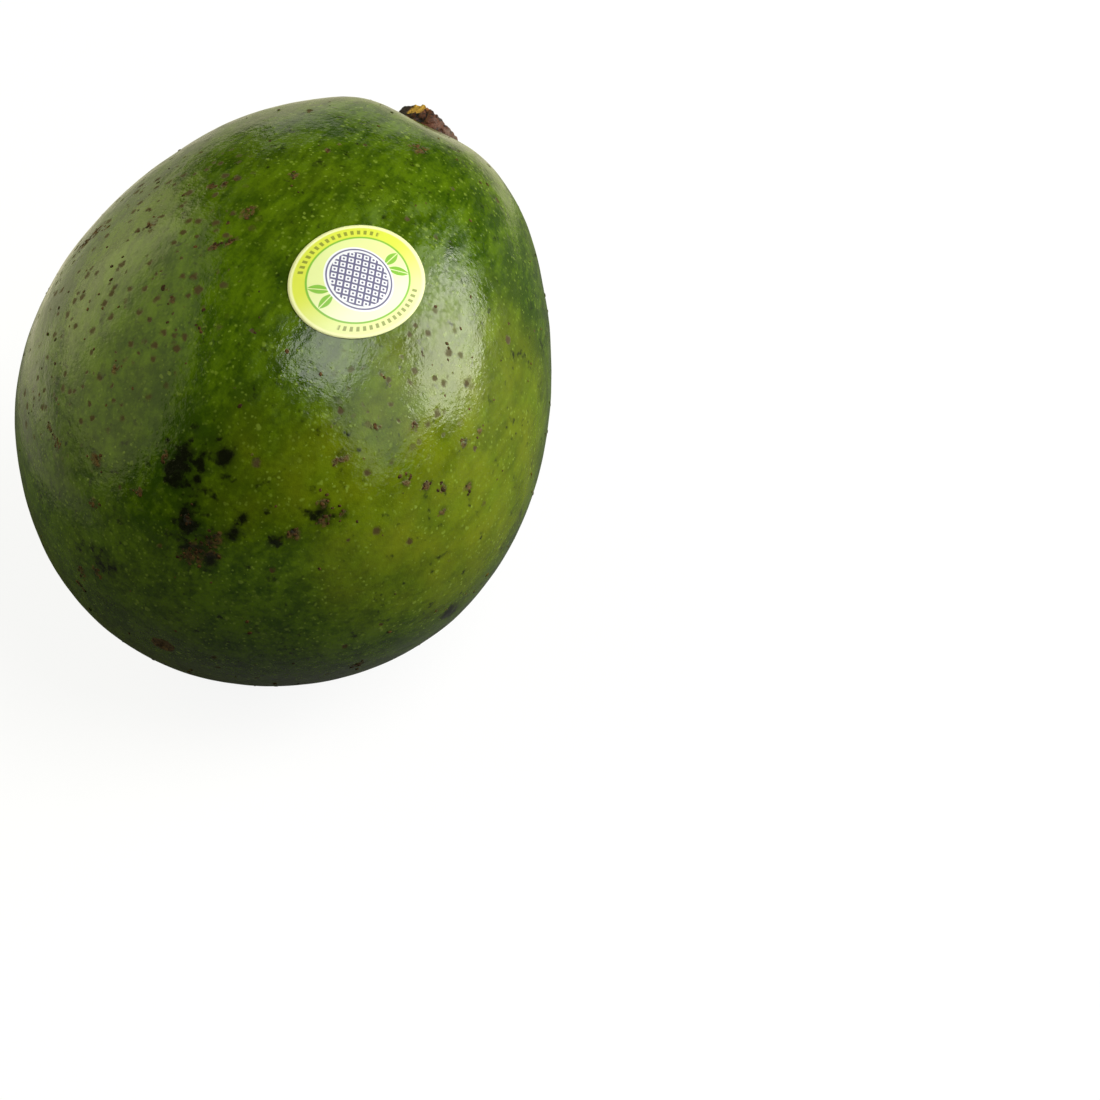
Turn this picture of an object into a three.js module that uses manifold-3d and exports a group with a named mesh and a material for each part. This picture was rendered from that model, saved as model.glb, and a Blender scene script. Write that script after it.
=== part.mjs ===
// A large green-skinned avocado lying on its side, its woody stem stub, and a small oval paper label.
// Millimetres, +Z up. The fruit's long axis lies over the Y axis, with the stem end towards +Y and a
// little raised. It rests on a small flat spot at z = 0, below the middle of its bounding box.
import * as THREE from "three";
import { mergeVertices } from "three/addons/utils/BufferGeometryUtils.js";
import Module from "manifold-3d";

// Driving dimensions of the fruit
const HALF_LENGTH = 58.95; // from the middle to either end, along the axis
const HALF_WIDTH = 49.35; // at the middle
const TAPER = 0.129; // share by which the stem half is slimmer and the blossom half fuller
const SLIMMING = 0.019; // share by which both ends are slimmer
const SHOULDER = 0.056; // share of fullness that comes back next to the stem
const STEM_LIFT = 2; // how far the stem end curves up out of the axis
const AXIS_TILT = THREE.MathUtils.degToRad(14); // how far the stem end is raised from level
const FLAT_DEPTH = 1.3; // how much of the round underside the flat spot takes away
const FACETS_ALONG_EDGE = 16; // splits of each edge of the icosahedron that the skin is made from

// The shallow hollow round the stem, and the tiny one at the blossom end
const STEM_HOLLOW = { depth: 1.2, radius: 9 };
const BLOSSOM_HOLLOW = { depth: 0.5, radius: 3.2 };

// The dent and the swell beside the stem: height over the skin, spread as a share of the radius, and
// the place of the middle, by its angles off the axis towards +X and towards +Z
const NECK_FORMS = [
  { height: -1.6, spread: 0.2, sideways: 0.148, upwards: 0.404 },
  { height: 0.87, spread: 0.175, sideways: -0.069, upwards: 0.634 },
];

// Broad waves of the skin: a seeded sum of waves over the unit sphere
const WAVE_COUNT = 12;
const WAVE_HEIGHT = 0.12; // of each wave
const WAVE_SLOWEST = 3; // radians per unit of the sphere's radius
const WAVE_FASTEST = 7;
const WAVE_SEED = 31;

// The stem stub and the plain socket that it stands in
const CLEARANCE = 0.3; // between pieces that touch
const SOCKET_DEPTH = 1.7;
const STUB_ROOT_RADIUS = 5.5;
const STUB_SIDES = 48;
const STUB_ASIDE = new THREE.Vector3(0.35, 0, -0.1); // how far the stub stands beside the pole
// Height above the skin and radius of each ring of bark, from the root up
const STUB_RINGS = [
  { height: 0.4, radius: 5.8 },
  { height: 1.2, radius: 6.2 },
  { height: 2.2, radius: 6.35 },
  { height: 3.3, radius: 6.35 },
  { height: 4.1, radius: 6.2 },
  { height: 4.55, radius: 5.7 },
  { height: 4.8, radius: 4.8 },
  { height: 4.95, radius: 3.5 },
  { height: 5.05, radius: 1.9 },
];
const STUB_TOP = 5.1;
const STUB_RISE = 0.36; // share by which its tallest side stands above the rest
const STUB_RISE_ANGLE = THREE.MathUtils.degToRad(114); // from +X towards +Z
// Ridges of the bark: how many go round, their share of the radius, and where they start
const BARK_RIDGES = [
  { count: 5, share: 0.025, start: 0.4 },
  { count: 9, share: 0.02, start: 2.1 },
  { count: 16, share: 0.012, start: 4.4 },
];
// The slanting face where the stem snapped off
const SNAP_REACH = 5.5; // from the stub's axis to the face, measured square to the face
const SNAP_ANGLE = THREE.MathUtils.degToRad(112); // from +X towards +Z
const SNAP_RISE = THREE.MathUtils.degToRad(24); // how far the face looks up along the axis
const SNAP_HEIGHT = 3.6; // above the skin, where the axis is measured from

// The label
const LABEL_LENGTH = 27.5;
const LABEL_WIDTH = 21.8;
const LABEL_THICKNESS = 0.3;
const LABEL_GAP = 0.42; // from the skin to its back
const LABEL_ALONG = 1.5; // its middle, along the axis
const LABEL_AROUND = THREE.MathUtils.degToRad(67); // round the axis, from +X towards +Z
const LABEL_LONG_WAY = new THREE.Vector3(0.429, 0.858, -0.283); // the way that its length runs
const LABEL_RINGS = 7;
const LABEL_SIDES = 40;

const CUTTER = 200; // size of the solids that only cut

const SKIN = new THREE.MeshStandardMaterial({ color: 0x3b5a12, roughness: 0.32 });
const BARK = new THREE.MeshStandardMaterial({ color: 0x4a2c1c, roughness: 0.9 });
const PAPER = new THREE.MeshStandardMaterial({ color: 0xe4e87a, roughness: 0.45 });

const wasm = await Module();
wasm.setup();

// Boolean solids

function solidOf(geometry) {
  const bare = geometry.clone();
  bare.deleteAttribute("normal");
  bare.deleteAttribute("uv");
  const merged = mergeVertices(bare);
  return new wasm.Manifold(
    new wasm.Mesh({
      numProp: 3,
      vertProperties: merged.attributes.position.array,
      triVerts: new Uint32Array(merged.index.array),
    }),
  );
}

function geometryOf(solid) {
  const mesh = solid.getMesh();
  const geometry = new THREE.BufferGeometry();
  geometry.setAttribute("position", new THREE.BufferAttribute(mesh.vertProperties, 3));
  geometry.setIndex(new THREE.BufferAttribute(mesh.triVerts, 1));
  geometry.computeVertexNormals();
  return geometry;
}

// Closed meshes from rings of points

// Joins rings of equal length by quads, and closes the first and the last ring with a point.
function closedRings(rings, firstPoint, lastPoint) {
  const sides = rings[0].length;
  const points = [...rings.flat(), firstPoint, lastPoint];
  const first = points.length - 2;
  const last = points.length - 1;
  const faces = [];
  for (let i = 0; i < sides; i++) {
    const j = (i + 1) % sides;
    faces.push(first, j, i);
    for (let k = 0; k + 1 < rings.length; k++) {
      const low = k * sides;
      const high = low + sides;
      faces.push(low + i, low + j, high + j, low + i, high + j, high + i);
    }
    const top = (rings.length - 1) * sides;
    faces.push(last, top + i, top + j);
  }
  const geometry = new THREE.BufferGeometry().setFromPoints(points);
  geometry.setIndex(faces);
  geometry.computeVertexNormals();
  return geometry;
}

// The fruit

function seededDraws(seed) {
  let state = seed;
  return () => {
    state = (state * 16807) % 2147483647;
    return state / 2147483647;
  };
}

function makeWaves() {
  const draw = seededDraws(WAVE_SEED);
  const waves = [];
  for (let i = 0; i < WAVE_COUNT; i++) {
    const way = new THREE.Vector3(draw() - 0.5, draw() - 0.5, draw() - 0.5).normalize();
    const pace = WAVE_SLOWEST + (WAVE_FASTEST - WAVE_SLOWEST) * draw();
    waves.push({ way: way.multiplyScalar(pace), start: 2 * Math.PI * draw() });
  }
  return waves;
}

const WAVES = makeWaves();

// How far the dent and the swell beside the stem move the skin outwards at a unit vector.
function neckRise(unit) {
  let rise = 0;
  for (const { height, spread, sideways, upwards } of NECK_FORMS) {
    const middle = new THREE.Vector3(
      Math.sin(sideways),
      Math.cos(sideways) * Math.cos(upwards),
      Math.cos(sideways) * Math.sin(upwards),
    );
    rise += height * Math.exp(-unit.distanceToSquared(middle) / spread ** 2);
  }
  return rise;
}

// A hollow of the given depth that fades out with the distance from the axis.
function hollowAt(distance, hollow) {
  return hollow.depth * Math.exp(-((distance / hollow.radius) ** 2));
}

// The point of the skin for a unit vector, in the fruit's own frame: +Y along the axis to the stem.
function skinPoint(unit) {
  const along = unit.y;
  const sine = Math.hypot(unit.x, unit.z);
  const fullness = 1 - TAPER * along - SLIMMING * along ** 2 + SHOULDER * along ** 3;
  let wave = 0;
  for (const { way, start } of WAVES) wave += WAVE_HEIGHT * Math.sin(way.dot(unit) + start);
  const radius = HALF_WIDTH * fullness;
  const fromAxis = radius * sine;
  const end = along > 0 ? hollowAt(fromAxis, STEM_HOLLOW) : -hollowAt(fromAxis, BLOSSOM_HOLLOW);
  const lift = STEM_LIFT * Math.max(0, along) ** 2;
  const point = new THREE.Vector3(
    (radius + wave) * unit.x,
    (HALF_LENGTH + wave) * along - end,
    (radius + wave) * unit.z + lift,
  );
  return point.addScaledVector(unit, neckRise(unit));
}

function fruitGeometry() {
  const sphere = new THREE.IcosahedronGeometry(1, FACETS_ALONG_EDGE);
  const places = sphere.attributes.position;
  const unit = new THREE.Vector3();
  for (let i = 0; i < places.count; i++) {
    const point = skinPoint(unit.fromBufferAttribute(places, i).normalize());
    places.setXYZ(i, point.x, point.y, point.z);
  }
  return sphere;
}

// The height of the lowest point once the axis is tilted.
function lowestPoint(geometry) {
  const tilted = geometry.clone().rotateX(AXIS_TILT);
  tilted.computeBoundingBox();
  return tilted.boundingBox.min.z;
}

const STUB_PLACE = skinPoint(new THREE.Vector3(0, 1, 0)).add(STUB_ASIDE);

function makeFruit(floor) {
  const socket = new THREE.CylinderGeometry(
    STUB_ROOT_RADIUS + CLEARANCE,
    STUB_ROOT_RADIUS + CLEARANCE,
    CUTTER,
    STUB_SIDES,
  );
  socket.translate(STUB_PLACE.x, STUB_PLACE.y - SOCKET_DEPTH + CUTTER / 2, STUB_PLACE.z);
  const ground = new THREE.BoxGeometry(CUTTER, CUTTER, CUTTER);
  ground.translate(0, 0, floor - CUTTER / 2).rotateX(-AXIS_TILT);
  const solid = solidOf(fruitGeometry()).subtract(solidOf(socket)).subtract(solidOf(ground));
  const mesh = new THREE.Mesh(geometryOf(solid), SKIN);
  mesh.name = "fruit";
  return mesh;
}

// The stem stub, made along +Y with the skin at height 0

function barkRing(height, radius) {
  const ring = [];
  const reach = radius / STUB_ROOT_RADIUS;
  for (let i = 0; i < STUB_SIDES; i++) {
    const angle = (2 * Math.PI * i) / STUB_SIDES;
    let share = 1;
    for (const ridge of BARK_RIDGES) share += ridge.share * Math.cos(ridge.count * angle + ridge.start);
    const rise = 1 + STUB_RISE * reach * Math.max(0, Math.cos(angle - STUB_RISE_ANGLE)) ** 3;
    const out = radius * share;
    ring.push(new THREE.Vector3(out * Math.cos(angle), height * rise, out * Math.sin(angle)));
  }
  return ring.reverse();
}

function rootRing(height) {
  const ring = [];
  for (let i = 0; i < STUB_SIDES; i++) {
    const angle = (2 * Math.PI * i) / STUB_SIDES;
    ring.push(
      new THREE.Vector3(STUB_ROOT_RADIUS * Math.cos(angle), height, STUB_ROOT_RADIUS * Math.sin(angle)),
    );
  }
  return ring.reverse();
}

function makeStub() {
  const bottom = CLEARANCE - SOCKET_DEPTH;
  const rings = [rootRing(bottom), rootRing(0)];
  for (const { height, radius } of STUB_RINGS) rings.push(barkRing(height, radius));
  const bark = closedRings(rings, new THREE.Vector3(0, bottom, 0), new THREE.Vector3(0, STUB_TOP, 0));
  const snap = new THREE.BoxGeometry(CUTTER, CUTTER, CUTTER);
  snap.translate(0, 0, SNAP_REACH + CUTTER / 2);
  snap.rotateX(-SNAP_RISE).rotateY(Math.PI / 2 - SNAP_ANGLE).translate(0, SNAP_HEIGHT, 0);
  const mesh = new THREE.Mesh(geometryOf(solidOf(bark).subtract(solidOf(snap))), BARK);
  mesh.name = "stem_stub";
  mesh.position.copy(STUB_PLACE);
  return mesh;
}

// The label, pressed onto the skin along its own normal

function makeLabel(fruit) {
  const unit = new THREE.Vector3(Math.cos(LABEL_AROUND), 0, Math.sin(LABEL_AROUND));
  unit.y = LABEL_ALONG / HALF_LENGTH;
  const middle = skinPoint(unit.normalize());
  const caster = new THREE.Raycaster();
  const hit = (from, way) => {
    caster.set(from, way);
    return caster.intersectObject(fruit)[0];
  };
  const outwards = unit.clone();
  const seat = hit(middle.clone().addScaledVector(outwards, HALF_WIDTH), outwards.negate());
  const normal = seat.face.normal.clone();
  const long = LABEL_LONG_WAY.clone();
  long.addScaledVector(normal, -long.dot(normal)).normalize();
  const wide = new THREE.Vector3().crossVectors(normal, long);
  const down = normal.clone().negate();
  const pressed = (share, angle, height) => {
    const from = seat.point.clone().addScaledVector(normal, HALF_WIDTH);
    from.addScaledVector(long, (share * LABEL_LENGTH * Math.cos(angle)) / 2);
    from.addScaledVector(wide, (share * LABEL_WIDTH * Math.sin(angle)) / 2);
    return hit(from, down).point.addScaledVector(normal, height);
  };
  const ring = (share, height) => {
    const points = [];
    for (let i = 0; i < LABEL_SIDES; i++) {
      points.push(pressed(share, (2 * Math.PI * i) / LABEL_SIDES, height));
    }
    return points;
  };
  const front = LABEL_GAP + LABEL_THICKNESS;
  const rings = [];
  for (let k = 1; k <= LABEL_RINGS; k++) rings.push(ring(k / LABEL_RINGS, LABEL_GAP));
  for (let k = LABEL_RINGS; k >= 1; k--) rings.push(ring(k / LABEL_RINGS, front));
  const paper = closedRings(rings, pressed(0, 0, LABEL_GAP), pressed(0, 0, front));
  const mesh = new THREE.Mesh(paper, PAPER);
  mesh.name = "label";
  return mesh;
}

// The whole: tilted, then moved so that its bounding box stands on the origin

function makeAvocado() {
  const floor = lowestPoint(fruitGeometry()) + FLAT_DEPTH;
  const fruit = makeFruit(floor);
  const lying = new THREE.Group();
  lying.add(fruit, makeStub(), makeLabel(fruit));
  lying.rotation.x = AXIS_TILT;
  const avocado = new THREE.Group();
  avocado.add(lying);
  const box = new THREE.Box3().setFromObject(avocado, true);
  lying.position.set(-(box.min.x + box.max.x) / 2, -(box.min.y + box.max.y) / 2, -floor);
  return avocado;
}

export default makeAvocado();
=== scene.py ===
"""A green-skinned avocado on its side, with its woody stem stub and an oval paper label."""

import itertools
import logging
import math
from dataclasses import dataclass, field
from enum import Enum

import bpy
import numpy as np
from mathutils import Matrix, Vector
from mathutils.bvhtree import BVHTree


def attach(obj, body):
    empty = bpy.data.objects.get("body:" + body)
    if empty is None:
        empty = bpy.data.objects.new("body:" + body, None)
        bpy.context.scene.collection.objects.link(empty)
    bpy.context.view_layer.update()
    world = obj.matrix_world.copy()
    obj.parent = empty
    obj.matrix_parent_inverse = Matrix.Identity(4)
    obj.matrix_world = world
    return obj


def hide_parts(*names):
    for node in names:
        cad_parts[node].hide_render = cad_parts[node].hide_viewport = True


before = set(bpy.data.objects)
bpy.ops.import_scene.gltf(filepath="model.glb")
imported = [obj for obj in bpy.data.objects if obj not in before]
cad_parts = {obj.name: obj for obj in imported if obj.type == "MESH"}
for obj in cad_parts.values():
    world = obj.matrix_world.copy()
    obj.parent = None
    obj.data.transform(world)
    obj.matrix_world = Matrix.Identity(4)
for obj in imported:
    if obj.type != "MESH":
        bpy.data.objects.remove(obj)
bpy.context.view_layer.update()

MM = 0.001
LOG = logging.getLogger("avocado")
Colour = tuple[float, float, float, float]


# Small helpers for points and meshes


def lengths(vectors: np.ndarray) -> np.ndarray:
    """The length of each row."""
    return np.sqrt((vectors * vectors).sum(-1))


def unit_rows(vectors: np.ndarray) -> np.ndarray:
    """Each row scaled to length one."""
    return vectors / lengths(vectors)[..., None]


def ease(values: np.ndarray, low: float, high: float) -> np.ndarray:
    """Smooth step from 0 at low to 1 at high.

    Args:
        values: the numbers to ease.
        low: where the step starts.
        high: where the step ends; it may be less than low.

    Returns:
        Numbers between 0 and 1.
    """
    share = np.clip((values - low) / (high - low), 0.0, 1.0)
    return share * share * (3.0 - 2.0 * share)


def soft_noise(points: np.ndarray, seed: int) -> np.ndarray:
    """Smooth seeded noise with features about one unit wide.

    Args:
        points: rows of three coordinates.
        seed: picks one of many patterns.

    Returns:
        One number between -1 and 1 for each point.
    """
    cell = np.floor(points).astype(np.int64)
    part = points - cell
    blend = part * part * (3.0 - 2.0 * part)
    total = np.zeros(len(points))
    for corner in itertools.product((0, 1), repeat=3):
        at = cell + np.array(corner)
        mixed = (at[:, 0] * 73856093) ^ (at[:, 1] * 19349663) ^ (at[:, 2] * 83492791) ^ (seed * 7919)
        mixed = (mixed & 0xFFFFFFFF) * 2654435761 & 0xFFFFFFFF
        mixed = ((mixed >> 15) ^ mixed) * 2246822519 & 0xFFFFFFFF
        value = (mixed >> 8) / float(1 << 24)
        share = np.ones(len(points))
        for axis, side in enumerate(corner):
            share *= blend[:, axis] if side else 1.0 - blend[:, axis]
        total += value * share
    return total * 2.0 - 1.0


def add_object(name: str, data: bpy.types.ID) -> bpy.types.Object:
    """Links an object at the origin that shows some data."""
    item = bpy.data.objects.new(name, data)
    bpy.context.scene.collection.objects.link(item)
    return item


def mesh_object(name: str, points: np.ndarray, faces: np.ndarray | list) -> bpy.types.Object:
    """Makes a smooth-shaded object at the origin from points in metres.

    Args:
        name: the name of the object and its mesh.
        points: rows of three coordinates.
        faces: lists of point numbers, each face anticlockwise from outside.

    Returns:
        The object, linked to the scene.
    """
    mesh = bpy.data.meshes.new(name)
    mesh.from_pydata(points.tolist(), [], faces.tolist() if isinstance(faces, np.ndarray) else faces)
    mesh.update()
    mesh.polygons.foreach_set("use_smooth", [True] * len(mesh.polygons))
    return add_object(name, mesh)


def paint(item: bpy.types.Object, name: str, values: np.ndarray) -> None:
    """Stores one number for each point of a mesh under a name."""
    layer = item.data.attributes.new(name, "FLOAT", "POINT")
    layer.data.foreach_set("value", np.asarray(values, dtype=np.float32))


def ring_faces(rings: int, sides: int, first: int, last: int) -> list[tuple[int, ...]]:
    """Faces that join equal rings into a closed body with a point at each end.

    Args:
        rings: how many rings there are.
        sides: how many points a ring has.
        first: the number of the point that closes the first ring.
        last: the number of the point that closes the last ring.

    Returns:
        Triangles and quads of point numbers.
    """
    faces: list[tuple[int, ...]] = []
    top = (rings - 1) * sides
    for i in range(sides):
        j = (i + 1) % sides
        faces.append((first, j, i))
        faces.append((last, top + i, top + j))
        for k in range(rings - 1):
            low, high = k * sides, (k + 1) * sides
            faces.append((low + i, low + j, high + j, high + i))
    return faces


# The form of the skin, the same rule as the solid's


@dataclass(frozen=True)
class EndHollow:
    """A round hollow on the long axis, in millimetres."""

    depth: float
    radius: float

    def at(self, distance: np.ndarray) -> np.ndarray:
        """Depth at a distance from the axis."""
        return self.depth * np.exp(-((distance / self.radius) ** 2))


@dataclass(frozen=True)
class NeckForm:
    """A gentle swell or dent near the stem: height and spread, and where its middle is."""

    height: float
    spread: float
    sideways: float
    upwards: float

    def rise(self, units: np.ndarray) -> np.ndarray:
        """How far it moves the skin outwards, in millimetres."""
        side, up = self.sideways, self.upwards
        middle = np.array([math.sin(side), math.cos(side) * math.cos(up), math.cos(side) * math.sin(up)])
        return self.height * np.exp(-(((units - middle) ** 2).sum(-1)) / self.spread**2)


@dataclass
class FruitForm:
    """The fruit's outer form in millimetres, with +Y along its axis to the stem before it is laid down."""

    half_length: float = 58.95
    half_width: float = 49.35
    taper: float = 0.129
    slimming: float = 0.019
    shoulder: float = 0.056
    stem_lift: float = 2.0
    tilt: float = math.radians(14)
    lying: tuple[float, float, float] = (0.18093, -1.14724, 50.18237)
    stem_hollow: EndHollow = EndHollow(1.2, 9.0)
    blossom_hollow: EndHollow = EndHollow(0.5, 3.2)
    neck_forms: tuple[NeckForm, ...] = (
        NeckForm(-1.6, 0.2, 0.148, 0.404),
        NeckForm(0.87, 0.175, -0.069, 0.634),
    )
    wave_count: int = 12
    wave_height: float = 0.12
    wave_slowest: float = 3.0
    wave_fastest: float = 7.0
    wave_seed: int = 31
    ground_softness: float = 0.15
    waves: list[tuple[np.ndarray, float]] = field(default_factory=list)

    def __post_init__(self) -> None:
        """Draws the slow waves of the skin from their seed."""
        state = self.wave_seed

        def draw() -> float:
            """The next number between 0 and 1."""
            nonlocal state
            state = state * 16807 % 2147483647
            return state / 2147483647

        for _ in range(self.wave_count):
            way = unit_rows(np.array([draw() - 0.5, draw() - 0.5, draw() - 0.5]))
            pace = self.wave_slowest + (self.wave_fastest - self.wave_slowest) * draw()
            self.waves.append((way * pace, 2.0 * math.pi * draw()))

    def skin(self, units: np.ndarray) -> np.ndarray:
        """Points of the skin for unit vectors.

        Args:
            units: rows of unit vectors from the middle of the fruit.

        Returns:
            Points in millimetres, in the fruit's own frame.
        """
        along = units[:, 1]
        fullness = 1 - self.taper * along - self.slimming * along**2 + self.shoulder * along**3
        radius = self.half_width * fullness
        wave = sum(self.wave_height * np.sin(units @ way + start) for way, start in self.waves)
        from_axis = radius * np.hypot(units[:, 0], units[:, 2])
        end = np.where(along > 0, self.stem_hollow.at(from_axis), -self.blossom_hollow.at(from_axis))
        lift = self.stem_lift * np.maximum(0.0, along) ** 2
        points = np.stack(
            [
                (radius + wave) * units[:, 0],
                (self.half_length + wave) * along - end,
                (radius + wave) * units[:, 2] + lift,
            ],
            -1,
        )
        return points + units * sum(form.rise(units) for form in self.neck_forms)[:, None]

    def turned(self, vectors: np.ndarray) -> np.ndarray:
        """Directions of the fruit's own frame, turned as the fruit lies."""
        c, s = math.cos(self.tilt), math.sin(self.tilt)
        x, y, z = vectors[..., 0], vectors[..., 1], vectors[..., 2]
        return np.stack([x, y * c - z * s, y * s + z * c], -1)

    def laid(self, points: np.ndarray) -> np.ndarray:
        """Points of the fruit's own frame in metres, as the fruit lies."""
        return (self.turned(points) + np.array(self.lying)) * MM

    def rested(self, points: np.ndarray) -> np.ndarray:
        """Flattens what would be below the ground, with a small round edge.

        Args:
            points: rows of coordinates in metres.

        Returns:
            The same points, none below the ground.
        """
        heights = points[:, 2] / MM
        settled = 0.5 * (heights + np.sqrt(heights**2 + self.ground_softness**2))
        return np.column_stack([points[:, :2], settled * MM])

    def normals(self, units: np.ndarray) -> np.ndarray:
        """Outward directions of the lying skin at unit vectors.

        Args:
            units: rows of unit vectors from the middle of the fruit.

        Returns:
            Rows of unit normals.
        """
        step = 1e-3
        first = unit_rows(np.cross(units, np.array([0.31, 0.52, 0.8])))
        second = np.cross(units, first)
        sides = [
            self.skin(unit_rows(units + step * way)) - self.skin(unit_rows(units - step * way))
            for way in (first, second)
        ]
        out = unit_rows(np.cross(sides[0], sides[1]))
        out *= np.sign((out * units).sum(-1))[:, None]
        return self.turned(out)

    def way_to(self, latitude: float, longitude: float) -> np.ndarray:
        """Unit vector to a mark: degrees towards the stem, and round the axis from +X towards +Z."""
        lat, lon = math.radians(latitude), math.radians(longitude)
        return np.array([math.cos(lat) * math.cos(lon), math.sin(lat), math.cos(lat) * math.sin(lon)])


# Blemishes of the skin


class Blemish(Enum):
    """The kinds of mark that the skin carries, each stored under its own name."""

    STAIN = "stain"
    RUSSET = "russet"


@dataclass(frozen=True)
class Mark:
    """One mark: where it is in degrees, its radius in millimetres and its strength."""

    latitude: float
    longitude: float
    radius: float
    strength: float = 1.0


@dataclass(frozen=True)
class Patch:
    """A soft area: its middle in degrees, how far it is whole, where it ends, and its strength."""

    latitude: float
    longitude: float
    inner: float
    outer: float
    strength: float = 1.0


def marks(*rows: tuple[float, ...]) -> tuple[Mark, ...]:
    """One mark for each row of values."""
    return tuple(Mark(*row) for row in rows)


MARKS: dict[Blemish, tuple[Mark, ...]] = {
    Blemish.STAIN: marks(
        (-47, 87, 2.0), (-44, 86, 1.8), (-41, 85, 1.8), (-39, 76, 2.2), (-45, 81, 1.3), (-43, 84, 6.5, 0.5),
        (-45, 89, 1.9), (-42, 82, 1.3), (-52, 65, 1.6), (-48, 64, 1.3, 0.8), (-52, 81, 1.9),
        (-49, 53, 1.5, 0.9), (-40, 48, 2.6, 0.6), (-57, 74, 6.0, 0.5), (-55, 79, 1.8, 0.9),
        (-59, 67, 1.8, 0.9), (-66, 120, 4.5, 0.45), (8, 176, 2.4, 0.8), (-30, -12, 3.0, 0.7),
    ),
    Blemish.RUSSET: marks(
        (-3, 98, 0.8), (-2.4, 97, 0.7), (-1.7, 96, 0.7), (-1, 95, 0.8), (0, 141, 1.5), (2, 140.5, 1.3),
        (3.5, 139, 1.2), (41, 68, 2.3), (1, 117, 1.6, 0.9), (11, 109, 1.1), (12, 106, 1.1), (14, 104, 1.0),
        (-1, 142, 1.5), (1, 139, 1.3), (2, 135, 1.1, 0.8), (-40, 134, 0.9), (-42, 132, 0.9),
        (-44, 130, 0.9), (-29, 110, 1.2), (-47, 114, 1.7), (-43, 91, 1.0), (-51, 98, 1.0),
        (-55, 117, 1.2, 0.9), (-58, 70, 2.6), (-55, 69, 2.2), (-60, 75, 2.4), (-53, 80, 1.5, 0.9),
        (-16, 42, 1.1), (-21, 49, 1.0, 0.8), (-29, 52, 1.5), (-25, 36, 1.2), (-23, 31, 1.2), (-21, 27, 1.1),
        (-17, 21, 1.2), (-12, 29, 0.9, 0.8), (-8, 27, 0.9, 0.8), (-24, 23, 1.1), (-38, 49, 1.7),
        (-40, 46, 1.6), (-37, 43, 1.2), (-46, 50, 1.5, 0.9), (-12, 54, 0.9, 0.7), (-13, 58, 0.9, 0.7),
        (6, 95, 1.5), (18, 92, 1.1, 0.8), (28, 89, 0.9, 0.7), (-13, 104, 1.0, 0.8), (-15, 101, 0.9, 0.7),
        (-19, 93, 0.9, 0.7), (-69, 130, 1.4), (-68, 146, 1.2), (-69, 161, 1.3), (54, 13, 1.2),
        (12, -20, 1.6), (-20, -150, 2.2), (-24, -146, 1.4), (30, 170, 1.5), (-50, -20, 2.0),
    ),
}  # fmt: skip

PITS: tuple[tuple[float, float], ...] = (
    (5, 122), (5, 126), (-1, 120), (-7, 120), (-9, 122), (-12, 120), (-13, 135), (-14, 128),
    (-15, 122), (-16, 137), (-18, 124), (-18, 119), (-21, 129), (-23, 134), (-24, 122), (-21, 139),
    (-16, 66), (-18, 65), (-5, 45), (-2, 42), (5, 42), (0, 43), (-26, 118), (-31, 126), (-28, 132),
    (-34, 121), (-36, 129), (-9, 131), (-4, 128), (-40, 124), (-12, 47), (-8, 39), (-33, 139),
)  # fmt: skip


# Materials: nodes are added and joined by this


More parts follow.
